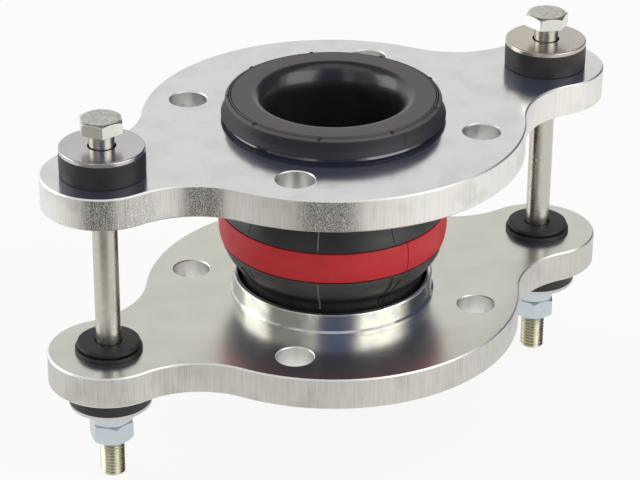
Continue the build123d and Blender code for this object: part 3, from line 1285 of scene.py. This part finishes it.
@dataclass
class RubberFittings:
    """The rubber buffer and the grommet at each end of each rod."""

    rubber: bpy.types.Material
    upper_plate: tuple[float, float] = (93.0, 109.0)
    buffer_r: float = 20.15
    buffer_hole_r: float = 7.0
    buffer_swell: float = 0.12
    head_buffer_t: float = 11.5
    nut_buffer_t: float = 10.5
    plate_t: float = 16.0
    hole_r: float = 6.5
    sleeve_r: float = 10.8
    lip_r: float = 16.1
    lip_t: float = 2.0
    cap_r: float = 15.0
    groove_r: float = 13.8
    groove_t: float = 0.6
    height: float = 4.7
    steps: int = 96

    def buffer_path(self, low: float, high: float) -> np.ndarray:
        """Section of a buffer: a ring whose outside stands slightly full.

        Args:
            low: The level of its lower face.
            high: The level of its upper face.

        Returns:
            Radius and height of each point.
        """
        levels = np.linspace(low, high, 13)
        edge = self.buffer_r - self.buffer_swell
        swell = self.buffer_swell * np.sin(np.pi * (levels - low) / (high - low))
        hole = self.buffer_hole_r
        path = np.vstack([[(hole, low)], np.c_[edge + swell, levels], [(hole, high)]])
        for level in (low, high):
            path = round_corner(path, (edge, level), 0.7, 5)
        return path

    def grommet_path(self, upward: bool, plate_low: float) -> np.ndarray:
        """Section of a grommet: sleeve through the ear, lip on it and cap.

        Args:
            upward: Whether the cap stands on the plate's upper face.
            plate_low: The level of the plate's lower face.

        Returns:
            Radius and height of each point.
        """
        plate = self.plate_t
        lip = plate + self.lip_t
        groove = lip + self.groove_t
        top = plate + self.height
        path = np.array(
            [
                (self.hole_r, 0.0),
                (self.sleeve_r, 0.0),
                (self.sleeve_r, plate),
                (self.lip_r, plate),
                (self.lip_r, lip),
                (self.groove_r, lip),
                (self.groove_r, groove),
                (self.cap_r, groove),
                (self.cap_r, top),
                (self.hole_r, top),
            ]
        )
        rounding = (
            ((self.lip_r, lip), 0.7),
            ((self.cap_r, groove), 0.6),
            ((self.cap_r, top), 0.8),
            ((self.hole_r, top), 0.4),
            ((self.lip_r, plate), 0.3),
        )
        for corner, reach in rounding:
            path = round_corner(path, corner, reach, 5)
        path[:, 1] = plate_low + (path[:, 1] if upward else plate - path[:, 1])
        return path

    def add(self, node: str, path: np.ndarray, side: Side, deck: Deck) -> None:
        """Turn one rubber fitting and let it stand for its CAD node.

        Args:
            node: The CAD node.
            path: The fitting's section.
            side: Which rod it is on.
            deck: Which flange it rides with.
        """
        rings = round_rings(path)
        piece = lathe(f"{node}_rubber", rings, self.rubber, self.steps, centre=side.axis)
        sharpen(piece, SHARP_RUBBER)
        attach(piece, deck.value)
        stand_in(piece, node)

    def build(self) -> None:
        """Build the four buffers and the four grommets."""
        low, high = self.upper_plate
        head_buffer = self.buffer_path(high, high + self.head_buffer_t)
        nut_buffer = self.buffer_path(-self.nut_buffer_t, 0.0)
        for side in Side:
            for name, path, deck in (
                ("head_buffer", head_buffer, Deck.UPPER),
                ("nut_buffer", nut_buffer, Deck.LOWER),
                ("upper_grommet", self.grommet_path(False, low), Deck.UPPER),
                ("lower_grommet", self.grommet_path(True, 0.0), Deck.LOWER),
            ):
                self.add(f"{side.value}_{name}", path, side, deck)


@dataclass
class TieRods:
    """Hexagon head bolts with a rolled thread, and two nuts on each."""

    rod: bpy.types.Material
    head: bpy.types.Material
    nut: bpy.types.Material
    rod_r: float = 6.0
    root_r: float = 5.08
    pitch: float = 1.75
    thread_length: float = 36.0
    end: float = -52.5
    seat: float = 129.5
    head_height: float = 7.0
    head_face_r: float = 8.7
    head_face_t: float = 0.6
    flats: float = 19.0
    crown_r: float = 9.0
    chamfer: float = math.tan(math.radians(30))
    head_edge: float = 0.22
    nut_edge: float = 0.2
    nut_height: float = 10.0
    nut_base: float = -22.5
    nut_play: float = 0.05
    countersink: float = 0.6
    head_turn: tuple[float, float] = (6.6, 39.0)
    nut_turn: tuple[float, float] = (18.4, 43.0)
    lock_turn: tuple[float, float] = (17.0, 57.0)
    hex_steps: int = 72
    shank_steps: int = 64

    def build_head(self, side: Side) -> bpy.types.Object:
        """Build a bolt's head, chamfered at its top.

        Args:
            side: Which rod it is.

        Returns:
            The head.
        """
        turn = math.radians(side.of(self.head_turn))
        top = self.seat + self.head_height
        base = self.seat + self.head_face_t
        rings = [
            round_ring(self.head_face_r, self.seat),
            round_ring(self.head_face_r, base),
            hex_ring(self.flats, turn, base),
            hex_ring(self.flats, turn, top, -self.chamfer, self.crown_r),
            round_ring(self.crown_r, top),
            round_ring(self.crown_r - 1.5, top),
        ]
        made = lathe(
            "bolt_head", rings, self.head, self.hex_steps, side.axis, turn, looped=False
        )
        soften(made, self.head_edge)
        return made

    def build_shank(self, side: Side) -> bpy.types.Object:
        """Build a bolt's shank, with the core of its thread and its chamfered end.

        Args:
            side: Which rod it is.

        Returns:
            The shank.
        """
        start = self.end + self.thread_length
        rings = round_rings(
            [
                (self.root_r - 0.9, self.end),
                (self.root_r - 0.15, self.end + 0.75),
                (self.root_r, self.end + 1.3),
                (self.root_r, start - 0.4),
                (self.rod_r - 0.25, start + 0.6),
                (self.rod_r - 0.02, start + 1.6),
                (self.rod_r - 0.02, self.seat + 0.3),
            ]
        )
        made = lathe("bolt_shank", rings, self.rod, self.shank_steps, side.axis, looped=False)
        sharpen(made, SHARP_SHANK)
        return made

    def build_thread(self, side: Side) -> bpy.types.Object:
        """Build a bolt's thread ridge round its core.

        Args:
            side: Which rod it is.

        Returns:
            The ridge.
        """
        depth, length = self.rod_r - self.root_r, self.thread_length - 1.4
        made = ThreadRidge(self.rod, self.root_r, depth, self.pitch, length).build("bolt_thread")
        x, y = side.axis
        made.data.transform(Matrix.Translation((x * MM, y * MM, (self.end + 0.9) * MM)))
        made.data.update()
        return made

    def fasten(
        self, name: str, parts: Sequence[bpy.types.Object], node: str
    ) -> None:
        """Join a bolt or nut, and let it stand for its CAD node on the lower flange.

        Args:
            name: The piece's name.
            parts: Its parts.
            node: The CAD node that it stands for.
        """
        piece = join(name, parts)
        sharpen(piece, SHARP_HEXAGON)
        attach(piece, Deck.LOWER.value)
        stand_in(piece, node)

    def build_nut(self, side: Side, node: str, low: float, turn_deg: float) -> None:
        """Build one nut, chamfered at both faces.

        Args:
            side: Which rod it is on.
            node: The CAD node that it stands for.
            low: The level of its lower face.
            turn_deg: The angle of its hexagon.
        """
        turn = math.radians(turn_deg)
        high = low + self.nut_height
        bore, sink = self.rod_r + self.nut_play, self.countersink
        rings = [
            round_ring(bore, low + sink),
            round_ring(bore + sink, low),
            round_ring(self.crown_r, low),
            hex_ring(self.flats, turn, low, self.chamfer, self.crown_r),
            hex_ring(self.flats, turn, high, -self.chamfer, self.crown_r),
            round_ring(self.crown_r, high),
            round_ring(bore + sink, high),
            round_ring(bore, high - sink),
        ]
        name = f"{node}_hexagon"
        nut = lathe(name, rings, self.nut, self.hex_steps, side.axis, turn)
        soften(nut, self.nut_edge)
        self.fasten(nut.name, [nut], node)

    def build(self) -> None:
        """Build both rods and their four nuts."""
        for side in Side:
            name = side.value
            parts = [self.build_head(side), self.build_shank(side), self.build_thread(side)]
            self.fasten(f"{name}_bolt", parts, f"{name}_tie_rod")
            self.build_nut(side, f"{name}_nut", self.nut_base, side.of(self.nut_turn))
            lock_base = self.nut_base - self.nut_height
            self.build_nut(side, f"{name}_lock_nut", lock_base, side.of(self.lock_turn))


@dataclass
class CadMetal:
    """The metal pieces whose CAD shape is shown as it is, in their finishes."""

    plates: dict[Deck, bpy.types.Material]
    ring: bpy.types.Material
    head_washers: dict[Side, bpy.types.Material]
    nut_washer: bpy.types.Material

    def dress(self) -> None:
        """Give every shown CAD node its finish."""
        finishes = {
            "_support_ring": (self.ring, "turned_ring"),
            "_nut_washer": (self.nut_washer, "washer_zinc"),
        }
        for deck, material in self.plates.items():
            finishes[deck.value] = (material, "zinc_plate")
        for side, material in self.head_washers.items():
            finishes[f"{side.value}_head_washer"] = (material, "washer_zinc")
        for name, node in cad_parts.items():
            for ending, (material, slot) in finishes.items():
                if name.endswith(ending):
                    node.data.materials.clear()
                    node.data.materials.append(material)
                    LOG.info("%s keeps its CAD shape, in %s", name, material.name)


# ---------------------------------------------------------------- the studio

WHITE = (1.0, 1.0, 1.0, 1.0)


@dataclass(frozen=True)
class Shade:
    """A dark or grey part of the studio's walls that bright metal mirrors.

    Angles are in degrees, measured from the camera's side: the bearing to the right, and
    the elevation above the horizon.
    """

    bearing: float
    bearing_half: float
    elevation: float
    elevation_half: float
    soft: float
    colour: str
    share: float


@dataclass(frozen=True)
class SoftBox:
    """A lamp that faces the object; its angles are measured as a shade's are.

    The distance, width and height are in metres, and the radiance is its face's.
    """

    name: str
    bearing: float
    elevation: float
    distance: float
    width: float
    height: float
    radiance: float


@dataclass
class Studio:
    """Floor, lamps, walls and camera, with the camera where the photograph was taken.

    Upright metal mirrors a dim floor in front of the picture's lower edge.
    """

    azimuth: float = -31.007
    elevation: float = 27.394
    roll: float = 0.331
    distance: float = 1.3055
    focal_px: float = 2680.2
    frame_px: float = 640.0
    sensor_mm: float = 36.0
    target: tuple[float, float, float] = (-0.009842, -0.004607, 0.04619)
    lamp_target: tuple[float, float, float] = (0.0, 0.0, 0.05)
    lamps: tuple[SoftBox, ...] = (
        SoftBox("right soft box", 58.0, 26.0, 1.6, 1.35, 1.45, 1.55),
        SoftBox("left soft box", -99.0, 22.0, 1.6, 1.1, 1.3, 1.65),
    )
    fill: float = 0.6
    paper: str = "#F4F4F3"
    paper_rough: float = 0.9
    # How much of the floor's look is its own glow, to the rays that see it.
    paper_glow: float = 0.88
    floor_level: float = -0.0526
    floor_reach: float = 6.0
    dim_bearing: float = -16.0
    dim_distance: float = 0.87
    dim_reach: float = 0.6
    dim_soft: float = 0.04
    dim_colour: str = "#8A867C"
    walls: str = "#F1F1F0"
    shades: tuple[Shade, ...] = (
        Shade(5.0, 17.0, 30.0, 22.0, 9.0, "#59638C", 0.97),
        Shade(127.0, 26.0, 17.0, 22.0, 8.0, "#2C3558", 0.95),
        Shade(-58.0, 18.0, 24.0, 16.0, 14.0, "#74767C", 0.7),
        Shade(-135.0, 47.0, 64.0, 19.0, 9.0, "#30323C", 0.85),
        Shade(135.0, 47.0, 64.0, 19.0, 9.0, "#30323C", 0.85),
    )

    def direction(self, bearing: float, elevation: float) -> Vector:
        """A direction from the object, by its bearing from the camera's side.

        Args:
            bearing: Degrees to the camera's right.
            elevation: Degrees above the horizon.

        Returns:
            The unit vector.
        """
        a = math.radians(self.azimuth)
        towards = Vector((math.sin(a), -math.cos(a), 0))
        right = Vector((math.cos(a), math.sin(a), 0))
        b, e = math.radians(bearing), math.radians(elevation)
        level = towards * math.cos(b) + right * math.sin(b)
        return level * math.cos(e) + Vector((0, 0, math.sin(e)))

    def build_camera(self) -> None:
        """Place the camera at the photograph's angle and distance."""
        data = bpy.data.cameras.new("camera")
        data.sensor_width = self.sensor_mm
        data.lens = self.focal_px / self.frame_px * data.sensor_width
        data.clip_start, data.clip_end = 0.01, 50.0
        camera = put_in_scene("camera", data)
        back, right = self.direction(0, self.elevation), self.direction(90, 0)
        up = back.cross(right)
        r = math.radians(self.roll)
        across = right * math.cos(r) + up * math.sin(r)
        up = up * math.cos(r) - right * math.sin(r)
        turn = Matrix((across, up, back)).transposed().to_4x4()
        place = Vector(self.target) + back * self.distance
        camera.matrix_world = Matrix.Translation(place) @ turn
        bpy.context.scene.camera = camera
        LOG.info("camera: %.1f mm lens", data.lens)

    def build_lamps(self) -> None:
        """Hang the soft boxes, each facing the object."""
        for box in self.lamps:
            data = bpy.data.lights.new(box.name, "AREA")
            data.shape = "RECTANGLE"
            data.size, data.size_y = box.width, box.height
            data.energy = box.radiance * math.pi * box.width * box.height
            lamp = put_in_scene(box.name, data)
            way = self.direction(box.bearing, box.elevation)
            lamp.location = Vector(self.lamp_target) + way * box.distance
            lamp.rotation_mode = "QUATERNION"
            lamp.rotation_quaternion = way.to_track_quat("Z", "Y")

    def build_floor(self) -> None:
        """Lay a pale floor that stays white to the camera and keeps the object's shadow."""
        mesh = bpy.data.meshes.new("floor")
        reach = self.floor_reach
        corners = ((-reach, -reach), (reach, -reach), (reach, reach), (-reach, reach))
        mesh.from_pydata([(x, y, self.floor_level) for x, y in corners], [], [(0, 1, 2, 3)])
        material = bpy.data.materials.new("white studio paper")
        material.use_nodes = True
        tree = material.node_tree
        node = partial(add_node, tree)
        shader = tree.nodes["Principled BSDF"]
        shader.inputs["Base Color"].default_value = linear(self.paper)
        shader.inputs["Roughness"].default_value = self.paper_rough
        place = node(COORDS).outputs["Object"]
        spot = self.direction(self.dim_bearing, 0) * self.dim_distance
        spot.z = self.floor_level
        off = node(VECTOR, {0: place, 1: spot}, operation="DISTANCE").outputs["Value"]
        outer, inner = self.dim_reach + self.dim_soft, self.dim_reach - self.dim_soft
        dim = node(RANGE, {0: off, 1: outer, 2: inner}, **SMOOTH)
        glossy = node(PATH).outputs["Is Glossy Ray"]
        mirrored = node(MATH, {0: dim, 1: glossy}, operation="MULTIPLY")
        paper = node(MIX, {0: mirrored, 6: WHITE, 7: linear(self.dim_colour)}, **RGBA)
        glow = node("ShaderNodeEmission", {"Color": paper, "Strength": 1.0})
        share = {0: self.seen_rays(tree), 1: self.paper_glow}
        looks = {0: node(MATH, share, operation="MULTIPLY"), 1: shader, 2: glow}
        mixed = node("ShaderNodeMixShader", looks)
        tree.links.new(first_output(mixed), tree.nodes["Material Output"].inputs["Surface"])
        mesh.materials.append(material)
        put_in_scene("floor", mesh)

    def seen_rays(self, tree: bpy.types.NodeTree) -> bpy.types.Node:
        """Tell the rays that see the background: camera, glossy and transmission rays.

        Args:
            tree: The tree that the nodes go into.

        Returns:
            A node that gives 1 for such a ray, and 0 for the rest.
        """
        ray = add_node(tree, PATH).outputs
        through = {0: ray["Is Glossy Ray"], 1: ray["Is Transmission Ray"]}
        either = add_node(tree, MATH, through, operation="MAXIMUM")
        return add_node(tree, MATH, {0: ray["Is Camera Ray"], 1: either}, operation="MAXIMUM")

    def build_walls(self) -> None:
        """Surround the object with a white studio, with the dark places that metal mirrors."""
        world = bpy.data.worlds.new("studio")
        bpy.context.scene.world = world
        world.use_nodes = True
        tree = world.node_tree
        node = partial(add_node, tree)
        way = node(COORDS).outputs["Generated"]
        aside, ahead = (
            node(VECTOR, {0: way, 1: self.direction(b, 0)}, operation="DOT_PRODUCT")
            for b in (90, 0)
        )
        sides = {0: aside.outputs["Value"], 1: ahead.outputs["Value"]}
        bearing = node(MATH, sides, operation="ARCTAN2")
        rise = node(MATH, {0: node(SPLIT, {0: way}).outputs["Z"]}, operation="ARCSINE")
        colour: bpy.types.Node | Colour = linear(self.walls)
        for shade in self.shades:
            masks = []
            for angle, middle, half in (
                (bearing, shade.bearing, shade.bearing_half),
                (rise, shade.elevation, shade.elevation_half),
            ):
                off = node(MATH, {0: angle, 1: math.radians(middle)}, operation="SUBTRACT")
                far = node(MATH, {0: off}, operation="ABSOLUTE")
                outer, inner = math.radians(half + shade.soft), math.radians(half)
                edges = {0: far, 1: outer, 2: inner, 4: math.sqrt(shade.share)}
                masks.append(node(RANGE, edges, **SMOOTH))
            mask = node(MATH, {0: masks[0], 1: masks[1]}, operation="MULTIPLY")
            colour = node(MIX, {0: mask, 6: colour, 7: linear(shade.colour)}, **RGBA)
        glossy = node(PATH).outputs["Is Glossy Ray"]
        mirrored = node(MIX, {0: glossy, 6: WHITE, 7: colour}, **RGBA)
        strength = node(MIX, {0: self.seen_rays(tree), 2: self.fill, 3: 1.0})
        background = tree.nodes["Background"]
        for source, name in ((mirrored, "Color"), (strength, "Strength")):
            tree.links.new(first_output(source), background.inputs[name])

    def build(self) -> None:
        """Build the whole studio."""
        self.build_camera()
        self.build_lamps()
        self.build_floor()
        self.build_walls()
        bpy.context.scene.view_settings.view_transform = "Standard"


# ---------------------------------------------------------------- main

# Where the torch ran unevenly round the upper plate: place and reach, and how coarse it is.
RUNS = (
    (-138.0, -25.5, 7.0, 0.9),
    (-121.0, -29.0, 9.0, 0.45),
    (-91.0, -36.0, 8.0, 0.9),
    (-50.0, -78.0, 12.0, 0.9),
)
BELLOWS = BellowsRubber("press-moulded black rubber", "#201E1D", 0.4, 0.0, stretches=True)
# Painted shade: darker than the body rubber, for the pips and folds; the splices are dark joints.
SHADED_RUBBER = MouldedRubber(
    "glossy black rubber, darker for painted shade", "#0C0B0C", 0.3, 0.0, stretches=True, bloom="#121112"
)
# Lighter rubber for one vent line: partly talcum, partly a painted highlight.
TALC_HIGHLIGHT = MouldedRubber(
    "black rubber with talc on it", "#6B6967", 0.4, 0.0, stretches=True, bloom="#787673"
)
PAD = MouldedRubber("pressed black rubber pad", "#1B181A", 0.5, 0.0)
RED = MouldedRubber(
    "red strip rubber", "#C41C26", 0.5, 0.0, stretches=True, bloom="#BB1922", grain_mm=1.2
)
PLATES = {
    Deck.UPPER: ZincedPlate(
        "rolled steel plate, blue zinc",
        "#E1E0DE",
        0.17,
        film="#5E6F9C",
        film_share=0.33,
        coarse_runs=RUNS,
    ),
    Deck.LOWER: ZincedPlate(
        "rolled steel plate, warm zinc",
        "#D8D6CA",
        0.24,
        cloud="#D4D2C7",
        cut_light="#D2CFC6",
        cut_shade="#8C8983",
    ),
}
RING = TurnedZinc("turned steel, bright zinc", "#DAD8D2", 0.12)
ROD = DrawnZinc("drawn steel bar, zinc plated", "#C4C2B8", 0.27)
HEAD = GrainyZinc(
    "forged steel, zinc plated",
    "#E6E5DC",
    0.24,
    shade="#A3A097",
    grain_mm=0.5,
    cloud_mm=1.6,
    top_share=0.45,
)
NUT = GrainyZinc(
    "cold formed steel, blue zinc",
    "#C6D0D4",
    0.3,
    shade="#AEBAC0",
    grain_mm=1.5,
    depth_mm=0.01,
)
WASHER = GrainyZinc(
    "punched steel, plain zinc",
    "#C8C7C6",
    0.2,
    shade="#BCBBB8",
    grain_mm=2.5,
    cloud_mm=24.0,
    depth_mm=0.005,
    side_share=1.0,
)
HEAD_WASHERS = {
    Side.LEFT: replace(
        WASHER, name="punched steel, lilac zinc", colour="#C6C2C5", shade="#C1C0BC"
    ),
    Side.RIGHT: replace(
        WASHER, name="punched steel, straw zinc", colour="#C4BCB2", shade="#BDB7AF"
    ),
}


def main() -> None:
    """Build the studio, then the joint from the bellows outwards."""
    logging.basicConfig(level=logging.INFO, format="%(message)s")
    Studio().build()
    Bellows(BELLOWS.make(), SHADED_RUBBER.make(), TALC_HIGHLIGHT.make(), RED.make()).build()
    RubberFittings(PAD.make()).build()
    TieRods(ROD.make(), HEAD.make(), NUT.make()).build()
    plates = {deck: finish.make() for deck, finish in PLATES.items()}
    washers = {side: finish.make() for side, finish in HEAD_WASHERS.items()}
    CadMetal(plates, RING.make(), washers, WASHER.make()).dress()


if __name__ == "__main__":
    main()
